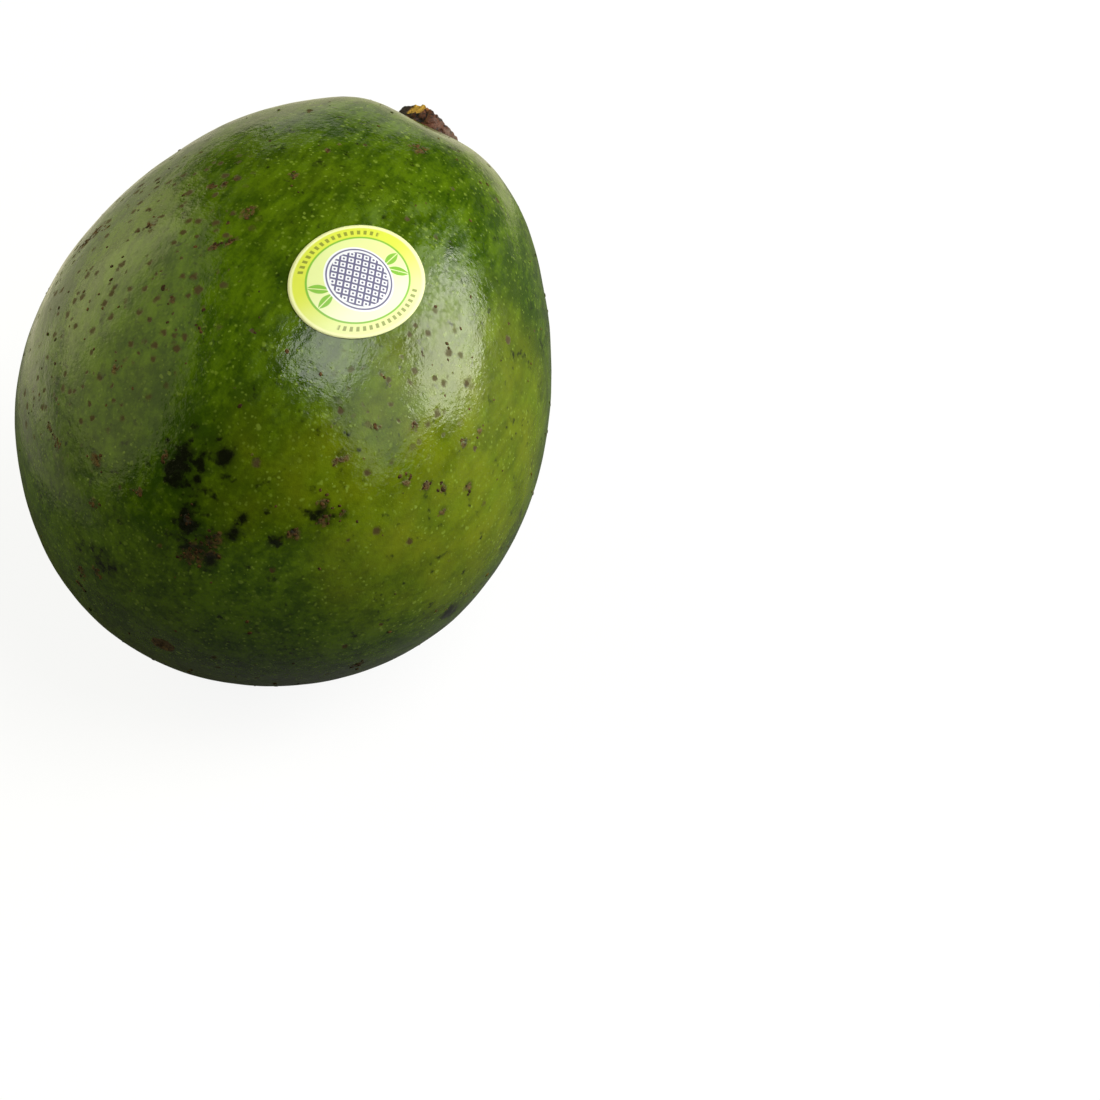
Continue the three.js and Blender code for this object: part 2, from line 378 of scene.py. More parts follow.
class Wiring:
    """Adds nodes to one tree and joins them."""

    def __init__(self, tree: bpy.types.NodeTree) -> None:
        """Keeps the tree that the nodes go into."""
        self.tree = tree

    def feed(self, socket: bpy.types.NodeSocket, value: object) -> None:
        """Joins a socket to another, or gives it a fixed value."""
        if isinstance(value, bpy.types.NodeSocket):
            self.tree.links.new(value, socket)
        else:
            socket.default_value = value

    def node(self, kind: str, sockets: dict[str | int, object], **settings: object) -> bpy.types.Node:
        """Adds a node.

        Args:
            kind: Blender's name for the node.
            sockets: values or other sockets for its inputs, by name or number.
            settings: its other settings.

        Returns:
            The new node.
        """
        made = self.tree.nodes.new(kind)
        for name, value in settings.items():
            setattr(made, name, value)
        for name, value in sockets.items():
            self.feed(self.socket(made.inputs, name), value)
        made.location = (len(self.tree.nodes) * 40.0, 0.0)
        return made

    @staticmethod
    def socket(sockets: bpy.types.bpy_prop_collection, name: str | int) -> bpy.types.NodeSocket:
        """The socket in use that has a name, or the one that has a number."""
        if isinstance(name, int):
            return sockets[name]
        return next(s for s in sockets if s.name == name and s.enabled)

    def math(self, operation: str, first: object, second: object = 0.0) -> bpy.types.NodeSocket:
        """The result of a sum on two numbers."""
        return self.node("ShaderNodeMath", {0: first, 1: second}, operation=operation).outputs[0]

    def times(self, first: object, second: object) -> bpy.types.NodeSocket:
        """The product of two numbers."""
        return self.math("MULTIPLY", first, second)

    def larger(self, first: object, second: object) -> bpy.types.NodeSocket:
        """The larger of two numbers."""
        return self.math("MAXIMUM", first, second)

    def vector(self, operation: str, first: object, second: object) -> bpy.types.NodeSocket:
        """The result of a sum on two vectors."""
        return self.node("ShaderNodeVectorMath", {0: first, 1: second}, operation=operation).outputs[0]

    def scaled(self, vector: object, factor: object) -> bpy.types.NodeSocket:
        """A vector times a number."""
        return self.node("ShaderNodeVectorMath", {0: vector, "Scale": factor}, operation="SCALE").outputs[0]

    def step(self, value: object, low: object, high: object) -> bpy.types.NodeSocket:
        """Smooth step of a value from 0 at low to 1 at high."""
        ranges = {"Value": value, "From Min": low, "From Max": high}
        return self.node("ShaderNodeMapRange", ranges, interpolation_type="SMOOTHSTEP").outputs[0]

    def blend(self, share: object, low: object, high: object) -> bpy.types.NodeSocket:
        """A colour between two, by a share from 0 to 1."""
        made = self.node("ShaderNodeMix", {"Factor": share, "A": low, "B": high}, data_type="RGBA")
        return self.socket(made.outputs, "Result")

    def between(self, share: object, low: object, high: object) -> bpy.types.NodeSocket:
        """A number between two, by a share from 0 to 1."""
        ranges = {"Value": share, "From Min": 0.0, "From Max": 1.0, "To Min": low, "To Max": high}
        return self.node("ShaderNodeMapRange", ranges).outputs[0]

    def total(self, *values: object) -> bpy.types.NodeSocket:
        """The sum of several numbers."""
        result = values[0]
        for value in values[1:]:
            result = self.math("ADD", result, value)
        return result

    def stored(self, name: str) -> bpy.types.NodeSocket:
        """The number stored on the mesh under a name."""
        return self.node("ShaderNodeAttribute", {}, attribute_name=name).outputs["Fac"]

    def place(self) -> bpy.types.NodeSocket:
        """Object coordinates in millimetres."""
        return self.scaled(self.node("ShaderNodeTexCoord", {}).outputs["Object"], 1.0 / MM)

    def noise(
        self, place: object, size: object, detail: float = 2.0, output: str = "Fac"
    ) -> bpy.types.NodeSocket:
        """Noise with features of a size in millimetres."""
        scaled = self.scaled(place, self.math("DIVIDE", 1.0, size))
        texture = self.node("ShaderNodeTexNoise", {"Vector": scaled, "Scale": 1.0, "Detail": detail})
        return texture.outputs[output]


class Effects:
    """The node groups that several materials share."""

    def __init__(self) -> None:
        """Builds each group once."""
        self.freckles = self._freckles()
        self.mottle = self._mottle()
        self.grain = self._grain()

    @staticmethod
    def _empty(
        name: str, inputs: dict[str, float | None], output: str
    ) -> tuple[Wiring, dict[str, bpy.types.NodeSocket], bpy.types.Node]:
        """Starts a group.

        Args:
            name: the name of the group.
            inputs: input names with their usual values; None marks a vector.
            output: the name of its one output.

        Returns:
            The wiring, the input sockets by name and the output node.
        """
        tree = bpy.data.node_groups.new(name, "ShaderNodeTree")
        for key, value in inputs.items():
            kind = "NodeSocketVector" if value is None else "NodeSocketFloat"
            socket = tree.interface.new_socket(name=key, in_out="INPUT", socket_type=kind)
            if value is not None:
                socket.default_value = value
        tree.interface.new_socket(name=output, in_out="OUTPUT", socket_type="NodeSocketFloat")
        wiring = Wiring(tree)
        start = wiring.node("NodeGroupInput", {})
        end = wiring.node("NodeGroupOutput", {})
        return wiring, {key: start.outputs[key] for key in inputs}, end

    def _freckles(self) -> bpy.types.NodeTree:
        """Round or ragged spots of mixed size, one at most in each cell."""
        inputs = {"Place": None, "Cell": 4.0, "Radius": 0.5, "Share": 1.0, "Ragged": 0.0}
        w, given, end = self._empty("freckles", inputs, "Mask")
        shift = w.vector("SUBTRACT", w.noise(given["Place"], 0.9, 1.0, "Color"), (0.5, 0.5, 0.5))
        moved = w.vector("ADD", given["Place"], w.scaled(shift, given["Ragged"]))
        cells = w.scaled(moved, w.math("DIVIDE", 1.0, given["Cell"]))
        voronoi = w.node("ShaderNodeTexVoronoi", {"Vector": cells, "Scale": 1.0})
        parts = w.node("ShaderNodeSeparateColor", {"Color": voronoi.outputs["Color"]})
        distance = w.times(voronoi.outputs["Distance"], given["Cell"])
        reach = w.times(given["Radius"], w.between(parts.outputs["Green"], 0.3, 1.0))
        spot = w.step(w.math("DIVIDE", distance, reach), 1.0, 0.4)
        chosen = w.math("LESS_THAN", parts.outputs["Red"], given["Share"])
        w.feed(end.inputs["Mask"], w.times(spot, chosen))
        return w.tree

    def _mottle(self) -> bpy.types.NodeTree:
        """Cloudy variation from 0 to 1 with features of one size."""
        w, given, end = self._empty("mottle", {"Place": None, "Size": 5.0, "Contrast": 1.0}, "Value")
        centred = w.math("SUBTRACT", w.noise(given["Place"], given["Size"], 3.0), 0.5)
        value = w.total(w.times(centred, given["Contrast"]), 0.5)
        limited = w.node("ShaderNodeClamp", {"Value": value}).outputs[0]
        w.feed(end.inputs["Value"], limited)
        return w.tree

    def _grain(self) -> bpy.types.NodeTree:
        """Relief in millimetres from a coarse and a fine noise."""
        w, given, end = self._empty("grain", {"Place": None, "Size": 1.0, "Height": 0.02}, "Relief")
        coarse = w.math("SUBTRACT", w.noise(given["Place"], given["Size"], 1.0), 0.5)
        fine_size = w.times(given["Size"], 0.4)
        fine = w.math("SUBTRACT", w.noise(given["Place"], fine_size, 1.0), 0.5)
        both = w.total(coarse, w.times(fine, 0.45))
        w.feed(end.inputs["Relief"], w.times(both, w.times(given["Height"], 2.0)))
        return w.tree


EFFECTS = Effects()


class Finish:
    """A material under construction, with the shared effects at hand."""

    def __init__(self, name: str) -> None:
        """Makes an empty material with one surface shader."""
        self.material = bpy.data.materials.new(name)
        self.material.use_nodes = True
        tree = self.material.node_tree
        tree.nodes.clear()
        self.w = Wiring(tree)
        self.shader = self.w.node("ShaderNodeBsdfPrincipled", {})
        self.w.node("ShaderNodeOutputMaterial", {"Surface": self.shader.outputs["BSDF"]})
        self.place = self.w.place()
        self.drawn = self.w.vector("MULTIPLY", self.place, (1.0, 0.38, 1.0))

    def group(self, tree: bpy.types.NodeTree, **values: object) -> bpy.types.NodeSocket:
        """Places a shared effect and gives its output."""
        made = self.w.node("ShaderNodeGroup", {}, node_tree=tree)
        for name, value in {"Place": self.place, **values}.items():
            self.w.feed(made.inputs[name], value)
        return made.outputs[0]

    def freckles(self, cell: float, radius: float, share: float, ragged: float = 0.0) -> bpy.types.NodeSocket:
        """Mask of scattered spots; sizes in millimetres."""
        return self.group(EFFECTS.freckles, Cell=cell, Radius=radius, Share=share, Ragged=ragged)

    def mottle(self, size: float, contrast: float, drawn: bool = False) -> bpy.types.NodeSocket:
        """Cloudy value from 0 to 1; size in millimetres, drawn out along Y if wanted."""
        place = self.drawn if drawn else self.place
        return self.group(EFFECTS.mottle, Place=place, Size=size, Contrast=contrast)

    def grain(self, size: float, height: float, drawn: bool = False) -> bpy.types.NodeSocket:
        """Relief in millimetres, drawn out along Y if wanted."""
        return self.group(EFFECTS.grain, Place=self.drawn if drawn else self.place, Size=size, Height=height)

    def finish(
        self, colour: object, roughness: object, relief: object, **constants: object
    ) -> bpy.types.Material:
        """Joins the results to the shader.

        Args:
            colour: the surface colour.
            roughness: its roughness.
            relief: its height in millimetres.
            constants: other shader values that are the same all over the surface.

        Returns:
            The finished material.
        """
        self.w.feed(self.shader.inputs["Base Color"], colour)
        self.w.feed(self.shader.inputs["Roughness"], roughness)
        bump = self.w.node("ShaderNodeBump", {"Height": relief, "Distance": MM})
        self.w.feed(self.shader.inputs["Normal"], bump.outputs["Normal"])
        for name, value in constants.items():
            self.shader.inputs[name.replace("_", " ")].default_value = value
        return self.material


@dataclass(frozen=True)
class SkinFinish:
    """Waxy green skin: colours, and sizes in millimetres."""

    deep: Colour = (0.017, 0.047, 0.0012, 1)
    fresh: Colour = (0.074, 0.138, 0.0022, 1)
    yellow: Colour = (0.17, 0.2, 0.004, 1)
    lenticel: Colour = (0.23, 0.32, 0.04, 1)
    pit: Colour = (0.05, 0.026, 0.004, 1)
    russet: Colour = (0.14, 0.07, 0.014, 1)
    russet_dark: Colour = (0.034, 0.016, 0.003, 1)
    stain: Colour = (0.005, 0.006, 0.002, 1)
    cork: Colour = (0.16, 0.1, 0.035, 1)
    gloss_low: float = 0.12
    gloss_high: float = 0.23
    refraction: float = 1.38

    def material(self) -> bpy.types.Material:
        """Builds the material."""
        f = Finish("avocado_skin")
        w = f.w
        cloud = w.total(
            w.times(f.mottle(16.0, 2.0), 0.24),
            w.times(f.mottle(3.4, 2.4, True), 0.36),
            w.times(f.mottle(1.3, 2.6, True), 0.26),
            w.times(f.mottle(0.6, 2.6), 0.14),
        )
        # Painted shade: the green is made deeper in the soft shaded areas.
        cloud = w.math("SUBTRACT", cloud, w.times(w.stored("painted_shade"), 0.2))
        green = w.blend(w.step(cloud, 0.22, 0.78), self.deep, self.fresh)
        ripe = w.times(w.stored("ripeness"), w.between(f.mottle(7.0, 2.4), 0.45, 1.25))
        green = w.blend(w.node("ShaderNodeClamp", {"Value": ripe}).outputs[0], green, self.yellow)
        dots = w.larger(f.freckles(1.0, 0.42, 0.8, 0.5), f.freckles(2.3, 0.66, 0.7, 0.8))
        dots_seen = w.times(dots, w.between(f.mottle(6.0, 2.4), 0.08, 0.72))
        # The pale dots fade in the pitted areas and in the painted shade.
        hidden = w.larger(w.stored("pitted"), w.stored("painted_shade"))
        dots_seen = w.times(dots_seen, w.between(hidden, 1.0, 0.35))
        colour = w.blend(dots_seen, green, self.lenticel)
        close_pits = w.times(f.freckles(2.5, 1.2, 0.85, 0.9), w.step(w.stored("pitted"), 0.1, 0.6))
        pits = w.larger(close_pits, f.freckles(5.0, 1.25, 0.5, 0.8))
        colour = w.blend(w.times(pits, 0.9), colour, self.pit)
        flecks = f.freckles(6.3, 0.75, 0.3, 0.9)
        near_mark = w.stored("russet")
        shaded = w.times(w.step(near_mark, 0.1, 0.9), w.between(f.mottle(1.6, 3.0), 0.25, 0.8))
        colour = w.blend(shaded, colour, self.stain)
        clump = w.times(f.freckles(1.6, 1.1, 0.7, 1.1), w.step(near_mark, 0.12, 0.5))
        broken = w.times(f.mottle(1.1, 2.6), w.step(near_mark, 0.3, 0.85))
        russet = w.larger(w.larger(clump, w.step(broken, 0.22, 0.7)), w.times(flecks, 0.8))
        scab = w.blend(f.mottle(0.8, 3.0), self.russet_dark, self.russet)
        colour = w.blend(w.times(russet, 0.85), colour, scab)
        smoky = w.total(w.stored("stain"), w.times(f.mottle(3.0, 2.4), 0.5))
        colour = w.blend(w.times(w.step(smoky, 0.3, 1.1), 0.78), colour, self.stain)
        ragged = w.total(w.times(f.mottle(1.1, 2.4), 0.7), w.times(f.mottle(3.0, 2.6), 0.9))
        stained = w.step(w.total(w.times(w.stored("stain"), 0.95), ragged), 1.12, 1.66)
        colour = w.blend(w.times(stained, 0.92), colour, self.stain)
        corky = w.step(w.total(w.stored("cork"), w.times(f.mottle(1.0, 2.5), 0.4)), 0.55, 0.9)
        colour = w.blend(corky, colour, w.blend(f.mottle(0.6, 3.0), self.russet_dark, self.cork))
        dull = w.larger(w.larger(russet, corky), pits)
        rough = w.between(w.math("POWER", f.mottle(2.2, 3.2, True), 2.0), self.gloss_low, self.gloss_high)
        feathers = w.total(w.times(f.mottle(3.4, 1.8, True), 0.6), w.times(f.mottle(0.9, 2.2), 0.4))
        worn = w.times(w.step(feathers, 0.36, 0.72), w.between(w.stored("handled"), 0.03, 0.32))
        rough = w.total(rough, worn, w.times(dull, 0.5))
        relief = w.total(
            f.grain(3.2, 0.05),
            f.grain(1.5, 0.02, True),
            f.grain(0.7, 0.022),
            w.times(dots, 0.012),
            w.times(pits, -0.03),
            w.times(w.times(russet, f.mottle(0.6, 3.0)), 0.09),
            w.times(w.times(corky, f.mottle(0.5, 3.0)), 0.12),
        )
        return f.finish(colour, rough, relief, IOR=self.refraction)


@dataclass(frozen=True)
class CrumbFinish:
    """Dry corky crumbs."""

    light: Colour = (0.1, 0.05, 0.012, 1)
    dark: Colour = (0.024, 0.011, 0.002, 1)

    def material(self) -> bpy.types.Material:
        """Builds the material."""
        f = Finish("cork_crumbs")
        tone = f.w.times(f.w.total(f.mottle(0.5, 2.6), f.mottle(9.0, 2.5)), 0.5)
        colour = f.w.blend(f.w.step(tone, 0.3, 0.72), self.dark, self.light)
        colour = f.w.blend(f.freckles(0.5, 0.1, 0.5), colour, self.light)
        return f.finish(colour, f.w.between(f.mottle(0.8, 2.0), 0.6, 0.85), f.grain(0.25, 0.03), IOR=1.25)


@dataclass(frozen=True)
class BarkFinish:
    """Dry bark of the stub with a paler snapped face."""

    dark: Colour = (0.01, 0.006, 0.004, 1)
    red: Colour = (0.1, 0.03, 0.011, 1)
    grey: Colour = (0.15, 0.1, 0.07, 1)
    tan: Colour = (0.46, 0.27, 0.03, 1)
    amber: Colour = (0.2, 0.062, 0.008, 1)

    def material(self) -> bpy.types.Material:
        """Builds the material."""
        f = Finish("stub_bark")
        w = f.w
        tone = w.total(
            w.times(f.mottle(1.4, 2.8), 0.55),
            w.times(f.mottle(0.4, 3.0), 0.35),
            w.times(w.stored("ridge"), 0.3),
        )
        bark = w.blend(w.step(tone, 0.4, 0.95), self.dark, self.red)
        bark = w.blend(w.times(w.stored("weathered"), f.mottle(0.9, 3.0)), bark, self.grey)
        # The bark is painted dark towards the -X end of the stub.
        bark = w.blend(w.stored("dark_end"), bark, self.dark)
        wood = w.blend(w.step(w.total(w.stored("amber"), f.mottle(0.6, 1.6)), 0.5, 1.1), self.tan, self.amber)
        wood = w.blend(w.times(f.freckles(0.55, 0.16, 0.6, 0.1), 0.6), wood, self.dark)
        bare = w.step(w.total(w.stored("snapped"), w.times(f.mottle(0.8, 2.5), 0.5)), 0.6, 0.95)
        colour = w.blend(w.times(bare, w.step(w.stored("dark_end"), 0.75, 0.2)), bark, wood)
        relief = w.total(f.grain(0.7, 0.1), f.grain(0.22, 0.035))
        return f.finish(colour, w.between(f.mottle(0.8, 2.0), 0.5, 0.85), relief, IOR=1.42)


@dataclass(frozen=True)
class PrintFinish:
    """Coated paper with a plain fruit print: all sizes in millimetres on the flat label."""

    half_length: float
    half_width: float
    cream: Colour = (0.77, 0.79, 0.4, 1)
    lime: Colour = (0.62, 0.68, 0.06, 1)
    pale: Colour = (0.68, 0.75, 0.32, 1)
    # The whitish tone below is a painted highlight: the paper whitens towards the bottom of the label.
    glare_white: Colour = (0.76, 0.78, 0.56, 1)
    white: Colour = (0.77, 0.78, 0.82, 1)
    violet: Colour = (0.12, 0.11, 0.22, 1)
    leaf: Colour = (0.2, 0.45, 0.035, 1)
    olive: Colour = (0.16, 0.19, 0.025, 1)
    medallion: float = 6.3
    lattice: float = 1.9
    tick_count: int = 56

    def material(self) -> bpy.types.Material:
        """Builds the material."""
        f = Finish("label_print")
        w = f.w
        flat = w.node("ShaderNodeUVMap", {}, uv_map="print").outputs["UV"]
        centred = w.vector("SUBTRACT", flat, (0.5, 0.5, 0.0))
        parts = w.node("ShaderNodeSeparateXYZ", {"Vector": centred})
        across = w.times(parts.outputs["X"], 2.0)
        upward = w.times(parts.outputs["Y"], 2.0)
        share = w.math("SQRT", w.total(w.math("POWER", across, 2.0), w.math("POWER", upward, 2.0)))
        x = w.times(across, self.half_length)
        y = w.times(upward, self.half_width)
        turn = w.math("ARCTAN2", upward, across)
        # Painted reflection: the band turns from lime to a paler tone towards the bottom of the label, as a
        # glare.
        band = w.blend(w.step(upward, 0.35, -0.75), self.lime, self.pale)
        colour = w.blend(w.step(share, 0.93, 0.955), band, self.cream)
        ticks = self._ticks(w, share, turn)
        colour = w.blend(w.times(ticks, 0.8), colour, self.olive)
        inner = w.step(share, 0.76, 0.74)
        # Painted reflection: the inner field whitens towards the bottom of the label.
        field = w.blend(w.step(upward, 0.3, -0.6), self.pale, self.glare_white)
        colour = w.blend(inner, colour, field)
        ring = w.times(w.step(share, 0.735, 0.745), w.step(share, 0.775, 0.765))
        colour = w.blend(ring, colour, self.leaf)
        for centre_x, centre_y, angle, length in (
            (-7.8, 1.9, 2.5, 2.2),
            (-8.1, -0.7, 3.4, 2.1),
            (7.8, -1.9, -0.65, 2.2),
            (8.1, 0.7, 0.25, 2.1),
        ):
            leaf = self._leaf(w, x, y, centre_x, centre_y, angle, length)
            colour = w.blend(leaf, colour, self.leaf)
        radius = w.math("SQRT", w.total(w.math("POWER", x, 2.0), w.math("POWER", y, 2.0)))
        colour = w.blend(w.step(radius, self.medallion + 0.35, self.medallion + 0.25), colour, self.white)
        colour = w.blend(self._lattice(w, x, y, radius), colour, self.violet)
        worn = w.times(f.freckles(1.1, 0.14, 0.35, 0.2), 0.35)
        colour = w.blend(worn, colour, self.cream)
        relief = w.total(f.grain(2.6, 0.02), f.grain(0.3, 0.002))
        return f.finish(colour, w.between(f.mottle(4.0, 2.0), 0.34, 0.46), relief, IOR=1.45)

    def _ticks(self, w: Wiring, share: object, turn: object) -> bpy.types.NodeSocket:
        """Short strokes that stand along the top and the bottom of the band.

        Args:
            w: the wiring of the material.
            share: distance from the middle, 1 at the edge.
            turn: angle round the label.

        Returns:
            Mask of the strokes.
        """
        wave = w.math("SINE", w.times(turn, float(self.tick_count)))
        stroke = w.step(wave, -0.15, 0.2)
        inside = w.times(w.step(share, 0.81, 0.82), w.step(share, 0.895, 0.885))
        arc = w.step(w.math("ABSOLUTE", w.math("SINE", turn)), 0.62, 0.66)
        return w.times(stroke, w.times(inside, arc))

    def _leaf(
        self, w: Wiring, x: object, y: object, centre_x: float, centre_y: float, angle: float, length: float
    ) -> bpy.types.NodeSocket:
        """One pointed leaf with a bare midrib.

        Args:
            w: the wiring of the material.
            x: place along the label.
            y: place across the label.
            centre_x: where the middle of the leaf is along the label.
            centre_y: where the middle of the leaf is across the label.
            angle: the way that the leaf points, in radians.
            length: half of its length.

        Returns:
            Mask of the leaf.
        """
        dx, dy = w.math("SUBTRACT", x, centre_x), w.math("SUBTRACT", y, centre_y)
        c, s = math.cos(angle), math.sin(angle)
        along = w.total(w.times(dx, c), w.times(dy, s))
        aside = w.math("ABSOLUTE", w.math("SUBTRACT", w.times(dy, c), w.times(dx, s)))
        share = w.math("DIVIDE", along, length)
        width = w.times(w.math("SUBTRACT", 1.0, w.math("POWER", share, 2.0)), length * 0.42)
        blade = w.step(w.math("SUBTRACT", width, aside), 0.0, 0.08)
        return w.times(blade, w.step(aside, 0.05, 0.13))

    def _lattice(self, w: Wiring, x: object, y: object, radius: object) -> bpy.types.NodeSocket:
        """Slanting crossed lines with a bead in each mesh, inside a fine ring.

        Args:
            w: the wiring of the material.
            x: place along the label.
            y: place across the label.
            radius: distance from the middle.

        Returns:
            Mask of the printed lines.
        """
        pace = math.pi / self.lattice
        first = w.math("SINE", w.times(w.total(x, y), pace))
        second = w.math("SINE", w.times(w.math("SUBTRACT", x, y), pace))
        closest = w.math("MINIMUM", w.math("ABSOLUTE", first), w.math("ABSOLUTE", second))
        lines = w.step(closest, 0.5, 0.38)
        beads = w.step(w.math("ABSOLUTE", w.times(first, second)), 0.84, 0.9)
        inside = w.step(radius, self.medallion - 0.7, self.medallion - 0.85)
        pattern = w.times(w.larger(lines, beads), inside)
        outside = w.step(radius, self.medallion - 0.4, self.medallion - 0.3)
        ring = w.times(outside, w.step(radius, self.medallion, self.medallion - 0.1))
        return w.larger(pattern, ring)


# The skin


@dataclass
class Skin:
    """The whole outer skin, finer than the solid's, with its relief and its stored marks."""

    form: FruitForm
    steps: int = 126
    swell_sizes: tuple[float, ...] = (9.0, 4.5, 2.2)
    swell_heights: tuple[float, ...] = (0.1, 0.045, 0.018)
    scar_radius: float = 1.7
    scar_width: float = 0.55
    scar_height: float = 0.18
    scar_dip: float = 1.4
    scar_dip_radius: float = 0.9
    scar_cork: tuple[float, float] = (3.2, 1.6)
    collar_radius: float = 6.3
    collar_fade: float = 1.3
    collar_middle: tuple[float, float] = (0.35, 1.9)
    collar_strength: float = 0.8
    # Soft areas of painted shade, where the green is made deeper.
    shaded: tuple[Patch, ...] = (
        Patch(-8, 96, 0.2, 0.75, 0.05),
        Patch(-44, 84, 0.1, 0.42, 0.75),
        Patch(20, 30, 0.15, 0.5, 0.4),
    )
    pitted: tuple[Patch, Patch] = (Patch(-10, 126, 0.4, 0.75), Patch(-8, 48, 0.15, 0.42, 0.5))
    handled: Patch = Patch(10, 58, 0.15, 0.42)
    riper: Patch = Patch(-38, 62, 0.05, 0.36, 0.28)
    ripe_way: tuple[float, float, float] = (0.878, -0.276, 0.391)
    ripe_right: float = 0.52
    ripe_neck: float = 0.2
    ripe_patchy: float = 0.16
    units: np.ndarray = field(init=False)
    smooth: np.ndarray = field(init=False)
    tree: BVHTree = field(init=False)

    def _sphere(self) -> tuple[np.ndarray, np.ndarray]:
        """A cube of square meshes, swollen to a sphere and joined along its edges.

        Returns:
            Unit vectors, and quads of their numbers with the outside to the front.
        """
        line = np.tan(np.linspace(-1.0, 1.0, self.steps + 1) * math.pi / 4.0)
        first, second = np.meshgrid(line, line, indexing="ij")
        row = self.steps + 1
        corner = (np.arange(self.steps)[:, None] * row + np.arange(self.steps)[None, :]).ravel()
        quads = np.stack([corner, corner + row, corner + row + 1, corner + 1], -1)
        points, faces = [], []
        for axis in range(3):
            for side in (-1.0, 1.0):
                parts = [first.ravel(), second.ravel()]
                parts.insert(axis, np.full(row * row, side))
                faces.append(quads + len(points) * row * row)
                points.append(np.stack(parts, -1))
        every = unit_rows(np.concatenate(points))
        _, keep, where = np.unique(np.round(every, 6), axis=0, return_index=True, return_inverse=True)
        units, joined = every[keep], where.reshape(-1)[np.concatenate(faces)]
        a, b, c = (units[joined[:, i]] for i in range(3))
        inward = (np.cross(b - a, c - a) * a).sum(-1) < 0
        joined[inward] = joined[inward][:, ::-1]
        return units, joined

    def _relief(self, points: np.ndarray) -> np.ndarray:
        """Low swells of the skin, and the raised scar at the blossom end.

        Args:
            points: points of the skin in the fruit's own frame, in millimetres.

        Returns:
            Heights in millimetres along the normal.
        """
        height = np.zeros(len(points))
        for seed, (size, share) in enumerate(zip(self.swell_sizes, self.swell_heights)):
            height += share * soft_noise(points / size, seed + 3)
        distance = np.hypot(points[:, 0], points[:, 2])
        ring = np.exp(-(((distance - self.scar_radius) / self.scar_width) ** 2))
        ring -= self.scar_dip * np.exp(-((distance / self.scar_dip_radius) ** 2))
        return height + np.where(points[:, 1] < 0, self.scar_height * ring, 0.0)

    def _marks(self, item: bpy.types.Object) -> None:
        """Stores how strong each mark and each soft area is at each point of the mesh."""
        reach = lengths(self.form.skin(self.units))
        for kind, found in MARKS.items():
            total = np.zeros(len(self.units))
            for mark in found:
                away = lengths(self.units - self.form.way_to(mark.latitude, mark.longitude)) * reach
                total = np.maximum(total, mark.strength * np.exp(-((away / mark.radius) ** 2)))
            paint(item, kind.value, total)
        paint(item, "ripeness", self._ripeness())
        # Stores the painted shade: deeper green in the shaded soft areas.
        paint(item, "painted_shade", sum(self._share(patch) for patch in self.shaded))
        paint(item, "handled", self._share(self.handled))
        paint(item, "pitted", np.maximum(*(self._share(patch) for patch in self.pitted)))
        own = self.form.skin(self.units)
        aside = np.hypot(own[:, 0] - self.collar_middle[0], own[:, 2] - self.collar_middle[1])
        round_stem = ease(aside, self.collar_radius + self.collar_fade, self.collar_radius)
        collar = np.where(own[:, 1] > 0, round_stem, 0.0)
        scar = np.where(own[:, 1] < 0, ease(np.hypot(own[:, 0], own[:, 2]), *self.scar_cork), 0.0)
        paint(item, "cork", np.maximum(collar * self.collar_strength, scar))

    def _share(self, patch: Patch) -> np.ndarray:
        """How strongly each point belongs to a soft area."""
        away = lengths(self.units - self.form.way_to(patch.latitude, patch.longitude))
        return patch.strength * ease(away, patch.outer, patch.inner)

    def _ripeness(self) -> np.ndarray:
        """Where the skin turns yellow-green: low on the right, and a little round the stem."""
        right = ease(self.units @ unit_rows(np.array(self.ripe_way)), 0.74, 1.0)
        neck = ease(self.units[:, 1], 0.55, 1.0)
        patchy = 0.5 + 0.5 * soft_noise(self.units * 3.1, 17)
        ripe = self.ripe_right * right + self.ripe_neck * neck + self.ripe_patchy * patchy
        return np.clip(ripe + self._share(self.riper), 0.0, 1.0)

    def build(self) -> bpy.types.Object:
        """Makes the skin and dresses it.

        Returns:
            The skin, which stands for the solid fruit.
        """
        self.units, faces = self._sphere()
        own = self.form.skin(self.units)
        out = self.form.normals(self.units)
        laid = self.form.laid(own)
        self.smooth = self.form.rested(laid)
        raised = self.form.rested(laid + out * (self._relief(own) * MM)[:, None])
        item = mesh_object("skin", raised, faces)
        self._marks(item)
        item.data.materials.append(SkinFinish().material())
        self.tree = BVHTree.FromPolygons(self.smooth.tolist(), faces.tolist())
        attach(item, "root")
        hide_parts("fruit")
        return item

    def hit(self, start: Vector, way: Vector) -> Vector:
        """Where a ray meets the smooth skin."""
        return self.tree.ray_cast(start, way)[0]


# Corky crumbs on the skin, set by a geometry tree


